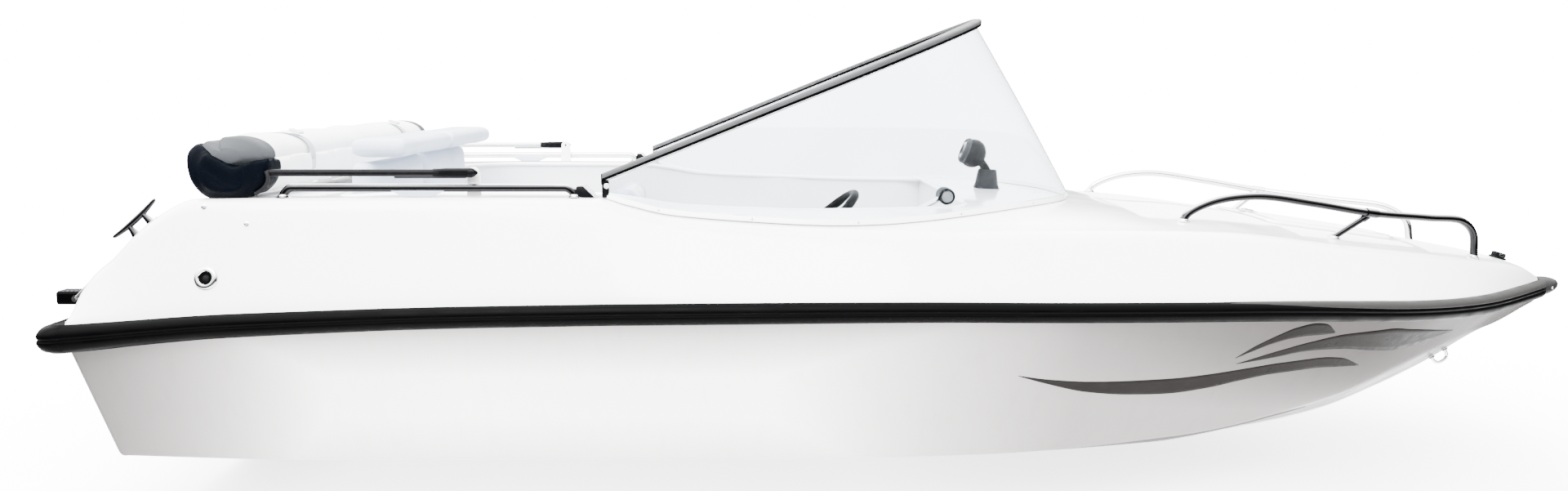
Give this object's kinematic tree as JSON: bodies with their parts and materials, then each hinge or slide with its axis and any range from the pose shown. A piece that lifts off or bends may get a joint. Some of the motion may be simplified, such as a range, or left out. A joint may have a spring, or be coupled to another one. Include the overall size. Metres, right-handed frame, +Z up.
{
  "type": "small open motorboat",
  "caption": "Open runabout with a vee hull, black rub rail, white deck, wrap-around windscreen, seats and a folded soft top; steering, soft top, locker lid and step move.",
  "frame": {"origin": "on the waterline, on the centreline, halfway along the rub rail's length", "axes": "+X to the bow, +Y to port, +Z up"},
  "size_m": [4.432, 1.7612, 1.3786],
  "materials": {
    "hull_paint": "warm light grey gloss paint",
    "deck_white": "white moulded composite, polished",
    "black_rubber": "satin",
    "grey_cap": "satin",
    "acrylic": "tinted, polished",
    "aluminium": "satin anodised",
    "stainless": "polished",
    "black_plastic": "satin",
    "vinyl": "marine vinyl, fine grain",
    "canvas": "coated canvas",
    "sole_grey": "non-slip"
  },
  "bodies": {
    "boat": {"hull_bottom_starboard": "hull_paint", "hull_bottom_port": "hull_paint", "hull_side_starboard": "hull_paint", "hull_side_port": "hull_paint", "spray_rail_starboard": "hull_paint", "spray_rail_port": "hull_paint", "keel_bar": "hull_paint", "transom": "hull_paint", "rub_rail_starboard": "black_rubber", "rub_rail_port": "black_rubber", "bow_cap": "grey_cap", "deck_moulding": "deck_white", "cockpit_liner_starboard": "deck_white", "cockpit_liner_port": "deck_white", "cockpit_sole": "sole_grey", "aft_bulkhead": "deck_white", "forward_bulkhead": "deck_white", "motor_well": "deck_white", "dash_panel": "deck_white", "helm_console": "deck_white", "throttle_control": "black_plastic", "instrument_pod": "black_plastic", "windscreen_glass": "acrylic", "windscreen_top_rail": "aluminium", "windscreen_base_trim": "black_rubber", "handrail_starboard": "stainless", "handrail_port": "stainless", "bow_rail_starboard": "stainless", "bow_rail_port": "stainless", "stern_cleat_starboard": "stainless", "stern_cleat_port": "stainless", "side_vent_starboard": "stainless", "side_vent_port": "stainless", "anchor_locker_tray": "deck_white", "bow_light": "black_plastic", "bow_eye": "stainless", "boarding_step_bracket": "stainless", "outboard_pad": "black_plastic", "soft_top_bracket_starboard": "black_plastic", "soft_top_bracket_port": "black_plastic", "helm_seat_base": "deck_white", "helm_seat_cushion": "vinyl", "helm_seat_back": "vinyl", "passenger_seat_base": "deck_white", "passenger_seat_cushion": "vinyl", "passenger_seat_back": "vinyl", "bench_base": "deck_white", "bench_cushion": "vinyl", "bench_back": "vinyl", "bench_bolster": "vinyl"},
    "helm_wheel": {"steering_wheel": "black_plastic"},
    "soft_top": {"soft_top_bundle": "canvas", "soft_top_leg_starboard": "black_plastic", "soft_top_leg_port": "black_plastic"},
    "locker_lid": {"anchor_locker_lid": "deck_white", "anchor_locker_latch": "stainless"},
    "step": {"boarding_step": "black_rubber"}
  },
  "joints": [
    {"name": "steering_turn", "type": "hinge", "parent": "boat", "child": "helm_wheel", "pos_m": [-0.224, -0.36, 0.559], "axis": [-0.6691, 0, 0.7431], "range_deg": [-540, 540]},
    {"name": "soft_top_swing", "type": "hinge", "parent": "boat", "child": "soft_top", "pos_m": [-1.119, 0, 0.752], "axis": [0, 1, 0], "range_deg": [0, 95]},
    {"name": "locker_lid_hinge", "type": "hinge", "parent": "boat", "child": "locker_lid", "pos_m": [1.592, 0, 0.52], "axis": [0, 1, 0], "range_deg": [0, 100]},
    {"name": "step_fold", "type": "hinge", "parent": "boat", "child": "step", "pos_m": [-2.172, -0.66, 0.421], "axis": [0, 1, 0], "range_deg": [0, 75]}
  ]
}
